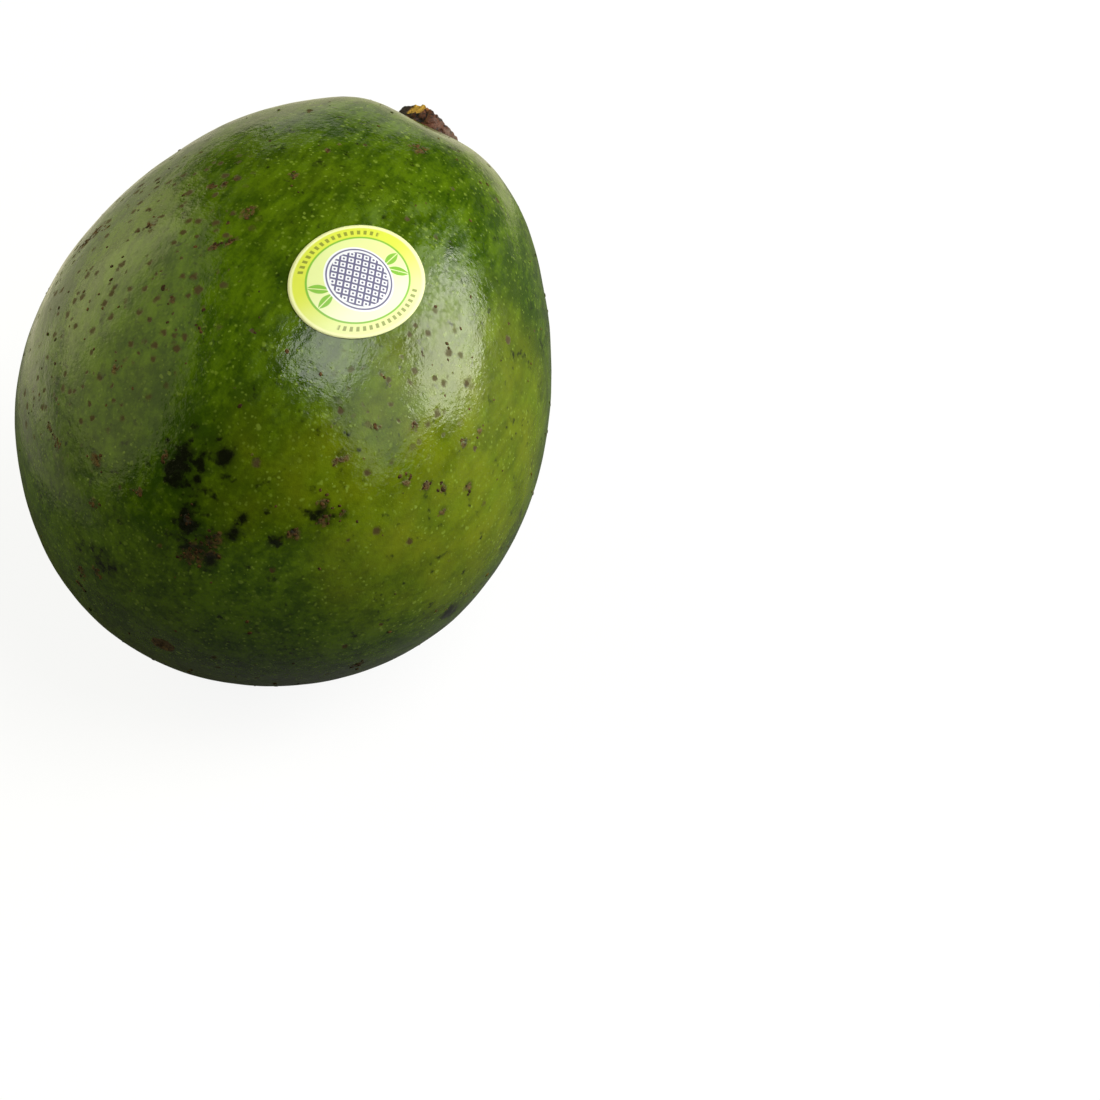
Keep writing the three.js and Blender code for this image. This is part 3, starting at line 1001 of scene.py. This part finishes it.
@dataclass
class CorkCrumbs:
    """Flat corky crumbs: loose over the skin, and closer together in the russet marks."""

    form: FruitForm
    fruit_radius: float = 50.0
    loose: int = 330
    loose_skew: float = 2.2
    for_each_mark: int = 5
    mark_share: float = 1.3
    mark_spread: float = 0.55
    smallest: float = 0.22
    largest: float = 0.55
    pit_smallest: float = 0.3
    pit_range: float = 0.2
    stem_clear: float = 0.985
    floor_clear: float = 0.4
    slimness: float = 0.72
    flatness: float = 0.2
    uneven: float = 0.06
    seed: int = 12
    label_way: tuple[float, float] = (1.0, 67.0)
    label_reach: float = 15.5

    def _spots(self) -> tuple[np.ndarray, np.ndarray]:
        """Draws where the crumbs lie and how large they are.

        Returns:
            Unit vectors, and radii in millimetres.
        """
        draw = np.random.default_rng(self.seed)
        ways = [unit_rows(draw.normal(size=(self.loose, 3)))]
        sizes = [self.smallest + (self.largest - self.smallest) * draw.random(self.loose) ** self.loose_skew]
        for mark in MARKS[Blemish.RUSSET]:
            middle = self.form.way_to(mark.latitude, mark.longitude)
            count = max(2, int(self.for_each_mark * mark.radius * mark.strength / self.mark_share))
            spread = mark.radius * self.mark_spread / self.fruit_radius
            ways.append(unit_rows(middle + draw.normal(size=(count, 3)) * spread))
            sizes.append(self.smallest + (self.largest - self.smallest) * draw.random(count))
        pits = np.array([self.form.way_to(*pit) for pit in PITS])
        ways.append(pits)
        sizes.append(self.pit_smallest + self.pit_range * draw.random(len(pits)))
        units, radii = np.concatenate(ways), np.concatenate(sizes)
        away = lengths(units - self.form.way_to(*self.label_way)) * self.fruit_radius
        bare = (away > self.label_reach) & (units[:, 1] < self.stem_clear)
        low = self.form.laid(self.form.skin(units))[:, 2] < self.floor_clear * MM
        keep = bare & ~low
        return units[keep], radii[keep]

    def _tree(self, material: bpy.types.Material) -> bpy.types.NodeTree:
        """The tree that puts a crumb on each point.

        Args:
            material: what the crumbs are dressed with.

        Returns:
            The geometry tree, with named inputs for its sizes.
        """
        tree = bpy.data.node_groups.new("crumbs_on_points", "GeometryNodeTree")
        inputs = {"Spots": "Geometry", "Flatness": "Float", "Uneven": "Float", "Seed": "Int"}
        for name, kind in inputs.items():
            tree.interface.new_socket(name=name, in_out="INPUT", socket_type="NodeSocket" + kind)
        tree.interface.new_socket(name="Crumbs", in_out="OUTPUT", socket_type="NodeSocketGeometry")
        w = Wiring(tree)
        given = w.node("NodeGroupInput", {}).outputs
        crumb = w.node("GeometryNodeMeshUVSphere", {"Segments": 8, "Rings": 4, "Radius": MM})
        size = w.node("GeometryNodeInputNamedAttribute", {"Name": "crumb_size"}, data_type="FLOAT")
        out = w.node("GeometryNodeInputNamedAttribute", {"Name": "outward"}, data_type="FLOAT_VECTOR")
        upright = w.node("FunctionNodeAlignRotationToVector", {"Vector": out.outputs["Attribute"]}, axis="Z")
        spin = w.node(
            "FunctionNodeRandomValue", {"Min": 0.0, "Max": 6.28, "Seed": given["Seed"]}, data_type="FLOAT"
        )
        spun = w.socket(spin.outputs, "Value")
        about = w.node("FunctionNodeAxisAngleToRotation", {"Axis": (0.0, 0.0, 1.0), "Angle": spun})
        facing = w.node(
            "FunctionNodeRotateRotation",
            {"Rotation": upright.outputs[0], "Rotate By": about.outputs[0]},
            rotation_space="LOCAL",
        )
        radius = size.outputs["Attribute"]
        thick = w.times(radius, given["Flatness"])
        slim = w.times(radius, self.slimness)
        shape = w.node("ShaderNodeCombineXYZ", {"X": radius, "Y": slim, "Z": thick})
        placed = w.node(
            "GeometryNodeInstanceOnPoints",
            {
                "Points": given["Spots"],
                "Instance": crumb.outputs["Mesh"],
                "Rotation": facing.outputs[0],
                "Scale": shape.outputs[0],
            },
        )
        real = w.node("GeometryNodeRealizeInstances", {"Geometry": placed.outputs[0]})
        spot = w.node("GeometryNodeInputPosition", {})
        bumps = w.node("ShaderNodeTexNoise", {"Vector": spot.outputs[0], "Scale": 2.4 / MM})
        push = w.vector("SUBTRACT", bumps.outputs["Color"], (0.5, 0.5, 0.5))
        offset = w.scaled(push, w.times(given["Uneven"], 2 * MM))
        moved = w.node("GeometryNodeSetPosition", {"Geometry": real.outputs[0], "Offset": offset})
        smooth = w.node("GeometryNodeSetShadeSmooth", {"Geometry": moved.outputs[0]})
        dressed = w.node("GeometryNodeSetMaterial", {"Geometry": smooth.outputs[0], "Material": material})
        w.node("NodeGroupOutput", {"Crumbs": dressed.outputs[0]})
        return tree

    def build(self) -> bpy.types.Object:
        """Makes the crumbs and turns them into a plain mesh.

        Returns:
            The crumbs as one piece.
        """
        units, radii = self._spots()
        points = self.form.laid(self.form.skin(units))
        spots = mesh_object("crumb_spots", points, [])
        paint(spots, "crumb_size", radii)
        layer = spots.data.attributes.new("outward", "FLOAT_VECTOR", "POINT")
        layer.data.foreach_set("vector", self.form.normals(units).ravel().astype(np.float32))
        material = CrumbFinish().material()
        tree = self._tree(material)
        modifier = spots.modifiers.new("crumbs", "NODES")
        modifier.node_group = tree
        values = {"Flatness": self.flatness, "Uneven": self.uneven, "Seed": self.seed}
        for socket in tree.interface.items_tree:
            if socket.name in values:
                modifier[socket.identifier] = values[socket.name]
        shown = spots.evaluated_get(bpy.context.evaluated_depsgraph_get())
        mesh = bpy.data.meshes.new_from_object(shown)
        mesh.name = "cork_crumbs"
        spots.modifiers.clear()
        bpy.data.objects.remove(spots)
        item = add_object("cork_crumbs", mesh)
        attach(item, "root")
        return item


# The stem stub


@dataclass
class StemStub:
    """The short woody stub: bark rings as on the solid, with cracks and a snapped face."""

    form: FruitForm
    aside: tuple[float, float, float] = (0.35, 0.0, -0.1)
    root_radius: float = 5.5
    profile: tuple[tuple[float, float], ...] = (
        (-1.0, 5.5), (0.0, 5.55), (0.4, 5.8), (1.2, 6.2), (2.2, 6.35), (3.3, 6.35), (4.1, 6.2),
        (4.55, 5.7), (4.8, 4.8), (4.95, 3.5), (5.05, 1.9), (5.1, 0.6),
    )  # fmt: skip
    rise: float = 0.36
    rise_angle: float = math.radians(114)
    ridges: tuple[tuple[int, float, float], ...] = ((5, 0.025, 0.4), (9, 0.02, 2.1), (16, 0.012, 4.4))
    cuts: tuple[tuple[tuple[float, float, float], float, float], ...] = (
        ((-0.3422, 0.4067, 0.847), 6.96, 1.0),
        ((0.434, 0.859, 0.273), 6.35, 0.0),
    )
    sides: int = 200
    rings: int = 84
    crack_depth: float = 0.5
    fibre_depth: float = 0.42

    def _rings(self) -> tuple[np.ndarray, np.ndarray, np.ndarray]:
        """Angles, heights and radii of all ring points."""
        profile = np.array(self.profile)
        steps = np.concatenate([[0.0], np.cumsum(lengths(np.diff(profile, axis=0)))])
        along = np.linspace(0.0, steps[-1], self.rings)
        height = np.interp(along, steps, profile[:, 0])
        radius = np.interp(along, steps, profile[:, 1])
        for _ in range(3):
            height[1:-1] = 0.25 * height[:-2] + 0.5 * height[1:-1] + 0.25 * height[2:]
            radius[1:-1] = 0.25 * radius[:-2] + 0.5 * radius[1:-1] + 0.25 * radius[2:]
        angle = -2.0 * math.pi * np.arange(self.sides) / self.sides
        return np.tile(angle, self.rings), np.repeat(height, self.sides), np.repeat(radius, self.sides)

    def _shape(self) -> tuple[np.ndarray, dict[str, np.ndarray]]:
        """Points along +Y with the skin at height 0, and what is stored on them.

        Returns:
            Points in millimetres, and values by name.
        """
        angle, height, radius = self._rings()
        share = np.ones(len(angle))
        for count, size, start in self.ridges:
            share += size * np.cos(count * angle + start)
        raised_side = np.maximum(0, np.cos(angle - self.rise_angle)) ** 3
        lift = 1.0 + self.rise * (radius / self.root_radius) * raised_side
        around = np.stack([np.cos(angle), np.sin(angle)], -1)
        flat = np.column_stack([around * 3.4, height * 0.35])
        crack = soft_noise(flat, 5) + 0.5 * soft_noise(flat * 2.3, 6)
        groove = ease(np.abs(crack), 0.16, 0.0)
        flakes = soft_noise(np.column_stack([around * 5.5, height * 0.9]), 8)
        rough = ease(height, -0.4, 0.6)
        out = radius * share + rough * (0.16 * flakes - self.crack_depth * groove * ease(radius, 1.5, 4.5))
        top = ease(radius, 5.6, 3.8)
        pith = soft_noise(np.column_stack([around * radius[:, None] * 1.1, height]), 9)
        level = height * np.where(height > 0, lift, 1.0)
        points = np.stack([out * np.cos(angle), level, out * np.sin(angle)], -1)
        points[:, 1] += top * 0.28 * pith
        centre = np.array([0.0, 1.5, 0.0])
        fibres = soft_noise(np.column_stack([points[:, 0] * 1.9, points[:, 1] * 0.5, points[:, 2] * 0.7]), 11)
        bare = np.zeros(len(points))
        for way, depth, bareness in self.cuts:
            limit = depth + self.fibre_depth * (fibres - 0.6)
            reach = (limit - centre @ way) / np.maximum((points - centre) @ way, 1e-6)
            cut = points @ way > limit
            points = np.where(cut[:, None], centre + (points - centre) * reach[:, None], points)
            bare = np.maximum(bare, np.where(cut, bareness, 0.0))
        stored = {
            "snapped": bare + top * 0.3,
            "ridge": 1.0 - groove + 0.4 * flakes,
            "amber": ease(points[:, 0], -1.3, 1.6),
            "weathered": ease(points[:, 0], 2.5, 6.2) * 0.8 + top * 0.25,
            # Darker towards the -X end.
            "dark_end": ease(points[:, 0], -2.7, -4.0) * 0.92,
        }
        return points, stored

    def build(self) -> bpy.types.Object:
        """Makes the stub and dresses it.

        Returns:
            The stub, which stands for the solid one.
        """
        points, stored = self._shape()
        bottom, top = points[: self.sides].mean(0), points[-self.sides :].mean(0)
        points = np.vstack([points, bottom, top])
        seat = self.form.skin(np.array([[0.0, 1.0, 0.0]]))[0] + np.array(self.aside)
        faces = ring_faces(self.rings, self.sides, len(points) - 2, len(points) - 1)
        item = mesh_object("stem", self.form.laid(points + seat), faces)
        for name, values in stored.items():
            paint(item, name, np.concatenate([values, [values[0], values[-1]]]))
        item.data.materials.append(BarkFinish().material())
        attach(item, "root")
        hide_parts("stem_stub")
        return item


# The label


@dataclass
class Label:
    """The oval paper label: a thin closed sheet that follows the skin, sizes in millimetres."""

    form: FruitForm
    skin: Skin
    length: float = 27.5
    width: float = 21.8
    gap: float = 0.13
    thickness: float = 0.11
    along: float = 1.5
    around: float = math.radians(67)
    long_way: tuple[float, float, float] = (0.429, 0.858, -0.283)
    rings: int = 30
    sides: int = 168
    edge_lift: float = 0.12
    clearance: float = 30.0

    def _frame(self) -> tuple[Vector, Vector, Vector, Vector]:
        """The label's middle on the skin, its normal, and its long and short ways."""
        unit = np.array([[math.cos(self.around), self.along / self.form.half_length, math.sin(self.around)]])
        unit = unit_rows(unit)
        middle = Vector(self.form.laid(self.form.skin(unit))[0])
        normal = Vector(self.form.normals(unit)[0])
        long = Vector(self.form.turned(np.array(self.long_way)))
        long = (long - normal * long.dot(normal)).normalized()
        return middle, normal, long, normal.cross(long)

    def _lift(self, share: float, angle: float) -> float:
        """How far the paper stands off beyond its gap: its edge curls a little in places."""
        curl = 0.5 + 0.5 * math.sin(2.0 * angle + 0.8) * math.sin(3.0 * angle)
        crease = 0.03 * math.sin(9.0 * share * math.cos(angle - 0.9) + 1.0)
        return self.edge_lift * share**8 * curl + crease * share

    def build(self) -> bpy.types.Object:
        """Makes the label and dresses it.

        Returns:
            The label, which stands for the solid one.
        """
        middle, normal, long, wide = self._frame()
        points: list[Vector] = []
        flat: list[tuple[float, float]] = []

        def press(share: float, angle: float, height: float) -> None:
            """Adds one point pressed onto the skin."""
            x, y = share * math.cos(angle), share * math.sin(angle)
            aside = long * (x * self.length / 2 * MM) + wide * (y * self.width / 2 * MM)
            found = self.skin.hit(middle + normal * (self.clearance * MM) + aside, -normal)
            points.append(found + normal * ((height + self._lift(share, angle)) * MM))
            flat.append((0.5 + 0.5 * x, 0.5 + 0.5 * y))

        turns = [2.0 * math.pi * i / self.sides for i in range(self.sides)]
        front = self.gap + self.thickness
        layers = [(k / self.rings, self.gap) for k in range(1, self.rings + 1)]
        layers += [(k / self.rings, front) for k in range(self.rings, 0, -1)]
        for share, height in layers:
            for turn in turns:
                press(share, turn, height)
        press(0.0, 0.0, self.gap)
        press(0.0, 0.0, front)
        faces = ring_faces(len(layers), self.sides, len(points) - 2, len(points) - 1)
        item = mesh_object("label_sheet", np.array([tuple(p) for p in points]), faces)
        layer = item.data.uv_layers.new(name="print")
        for loop in item.data.loops:
            layer.data[loop.index].uv = flat[loop.vertex_index]
        item.data.materials.append(PrintFinish(self.length / 2, self.width / 2).material())
        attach(item, "root")
        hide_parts("label")
        return item


# Floor, lights and camera


class Outline(Enum):
    """The outline of a studio light."""

    PANEL = "RECTANGLE"
    OVAL = "ELLIPSE"


@dataclass(frozen=True)
class Softbox:
    """One studio light: distance in metres, place and size as the fruit sees them in degrees, radiance."""

    name: str
    outline: Outline
    distance: float
    azimuth: float
    elevation: float
    width: float
    height: float
    radiance: float
    colour: tuple[float, float, float] = (1.0, 1.0, 1.0)

    def build(self, middle: Vector) -> None:
        """Hangs the light.

        Args:
            middle: the point that it faces.
        """
        lamp = bpy.data.lights.new(self.name, "AREA")
        lamp.shape = self.outline.value
        lamp.size = 2.0 * self.distance * math.tan(math.radians(self.width / 2))
        lamp.size_y = 2.0 * self.distance * math.tan(math.radians(self.height / 2))
        lamp.energy = 4.0 * lamp.size * lamp.size_y * self.radiance
        if self.outline is Outline.OVAL:
            lamp.energy *= math.pi / 4.0
        lamp.color = self.colour
        a, e = math.radians(self.azimuth), math.radians(self.elevation)
        way = Vector((math.sin(a) * math.cos(e), -math.cos(a) * math.cos(e), math.sin(e)))
        item = add_object(self.name, lamp)
        item.location = middle + way * self.distance
        item.rotation_mode = "QUATERNION"
        item.rotation_quaternion = way.to_track_quat("Z", "Y")
        item.visible_camera = False


@dataclass(frozen=True)
class FloorCard:
    """A glowing card on the floor: direction in degrees, reach and width in metres, radiance."""

    name: str
    azimuth: float
    near: float
    far: float
    width: float
    radiance: float
    colour: tuple[float, float, float] = (1.0, 0.92, 0.62)

    def build(self) -> None:
        """Lays the card down, facing up and out of the camera's sight."""
        lamp = bpy.data.lights.new(self.name, "AREA")
        lamp.shape = "RECTANGLE"
        lamp.size, lamp.size_y = self.width, self.far - self.near
        lamp.energy = 4.0 * lamp.size * lamp.size_y * self.radiance
        lamp.color = self.colour
        turn = math.radians(self.azimuth)
        middle = 0.5 * (self.near + self.far)
        item = add_object(self.name, lamp)
        item.location = (math.sin(turn) * middle, -math.cos(turn) * middle, 0.001)
        item.rotation_euler = (math.pi, 0.0, turn)
        item.visible_camera = False


@dataclass
class Studio:
    """A pale floor, soft lights and the camera."""

    middle: tuple[float, float, float] = (0.0, 0.0, 0.05)
    floor_half: float = 6.0
    floor_colour: Colour = (0.11, 0.11, 0.11, 1)
    floor_mottle: Colour = (0.095, 0.095, 0.095, 1)
    floor_glow: float = 0.89
    backdrop: Colour = (1.0, 1.0, 1.0, 1)
    dimness: Colour = (0.012, 0.012, 0.012, 1)
    camera_place: tuple[float, float, float] = (0.26993, -0.49229, 0.62401)
    camera_target: tuple[float, float, float] = (0.053377, -0.002734, 0.029499)
    camera_lens: float = 138.24
    lights: tuple[Softbox, ...] = (
        Softbox("key_softbox", Outline.OVAL, 1.4, 125, 19, 46, 31, 7.5, (1.0, 1.0, 0.87)),
        Softbox("low_panel", Outline.PANEL, 1.4, 127, 3.0, 33, 9, 1.0, (1.0, 1.0, 0.8)),
        Softbox("upper_panel", Outline.PANEL, 1.4, 90, 62, 32, 27, 5.2),
        Softbox("side_fill", Outline.PANEL, 1.4, 86, 28, 40, 34, 1.5),
        Softbox("left_softbox", Outline.OVAL, 0.6, -77, 25, 92, 74, 0.88, (0.99, 1.0, 0.54)),
        Softbox("rear_left_softbox", Outline.OVAL, 0.59, -106, 4, 50, 56, 0.76, (1.0, 0.95, 0.5)),
        Softbox("back_strip", Outline.PANEL, 0.6, -159, 2, 31, 22, 0.62, (1.0, 0.98, 0.8)),
    )
    cards: tuple[FloorCard, ...] = (
        FloorCard("left_card", -98, 0.1, 0.5, 0.4, 0.26),
        FloorCard("rear_left_card", -136, 0.1, 0.6, 0.46, 0.5),
    )

    def _floor(self) -> None:
        """The floor that the fruit lies on, which glows white for the camera alone."""
        h = self.floor_half
        corners = np.array([(-h, -h, 0.0), (h, -h, 0.0), (h, h, 0.0), (-h, h, 0.0)])
        item = mesh_object("floor", corners, [[0, 1, 2, 3]])
        f = Finish("pale_floor")
        colour = f.w.blend(f.w.times(f.mottle(60.0, 1.4), 0.04), self.floor_colour, self.floor_mottle)
        material = f.finish(colour, f.w.between(f.mottle(30.0, 1.5), 0.6, 0.7), f.grain(4.0, 0.01), IOR=1.2)
        sight = f.w.node("ShaderNodeLightPath", {}).outputs["Is Camera Ray"]
        f.shader.inputs["Emission Color"].default_value = (1, 1, 1, 1)
        f.w.feed(f.shader.inputs["Emission Strength"], f.w.times(sight, self.floor_glow))
        item.data.materials.append(material)

    def _world(self) -> None:
        """Dim surroundings behind a pale backdrop."""
        world = bpy.data.worlds.new("studio")
        world.use_nodes = True
        tree = world.node_tree
        tree.nodes.clear()
        w = Wiring(tree)
        sight = w.node("ShaderNodeLightPath", {}).outputs["Is Camera Ray"]
        colour = w.blend(sight, self.dimness, self.backdrop)
        sky = w.node("ShaderNodeBackground", {"Color": colour})
        w.node("ShaderNodeOutputWorld", {"Surface": sky.outputs[0]})
        bpy.context.scene.world = world

    def _camera(self) -> None:
        """The camera at the photograph's viewing angle."""
        data = bpy.data.cameras.new("camera")
        data.lens = self.camera_lens
        data.sensor_width = 36.0
        data.clip_start, data.clip_end = 0.05, 50.0
        item = add_object("camera", data)
        place, target = Vector(self.camera_place), Vector(self.camera_target)
        item.location = place
        item.rotation_mode = "QUATERNION"
        item.rotation_quaternion = (target - place).to_track_quat("-Z", "Y")
        bpy.context.scene.camera = item

    def build(self) -> None:
        """Sets up the floor, the surroundings, the lights and the camera."""
        self._floor()
        self._world()
        for light in self.lights:
            light.build(Vector(self.middle))
        for card in self.cards:
            card.build()
        self._camera()
        view = bpy.context.scene.view_settings
        view.view_transform = "Standard"
        view.look = "None"


def report(item: bpy.types.Object) -> None:
    """Logs a piece's size."""
    corners = [Vector(c) for c in item.bound_box]
    size = [max(c[i] for c in corners) - min(c[i] for c in corners) for i in range(3)]
    LOG.info("%s: %d faces, %s mm", item.name, len(item.data.polygons), [round(v / MM, 1) for v in size])


def main() -> None:
    """Builds the fruit with its crumbs, stub and label, and the studio round it."""
    logging.basicConfig(level=logging.INFO, format="%(name)s: %(message)s")
    form = FruitForm()
    skin = Skin(form)
    report(skin.build())
    report(CorkCrumbs(form).build())
    report(StemStub(form).build())
    report(Label(form, skin).build())
    Studio().build()


if __name__ == "__main__":
    main()
